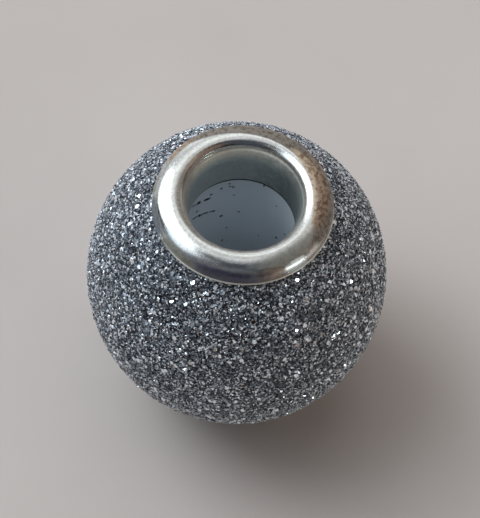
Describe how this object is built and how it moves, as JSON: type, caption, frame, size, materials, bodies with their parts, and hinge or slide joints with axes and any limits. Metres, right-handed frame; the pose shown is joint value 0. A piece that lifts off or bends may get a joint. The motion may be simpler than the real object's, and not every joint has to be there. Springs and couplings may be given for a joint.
{
  "type": "european charm bead",
  "caption": "Round large-hole charm bead: a resin ball with a glitter coat and a rolled metal grommet pressed into each end of its bore.",
  "frame": {"origin": "centre of the bead, on the bore's axis, midway between the two grommets", "axes": "+Z along the bore's axis, upwards as the bead stands; X and Y square to it"},
  "size_m": [0.014, 0.014, 0.0138],
  "materials": {
    "resin": "smooth blue-grey film on cast resin, chipped in places",
    "glitter": "coarse dark silver glitter in clear binder",
    "plated_brass": "silver plated, finely brushed, tarnished brown in places"
  },
  "bodies": {
    "root": {"resin_ball": "resin", "glitter_coat": "glitter", "upper_grommet": "plated_brass", "lower_grommet": "plated_brass"}
  },
  "joints": []
}
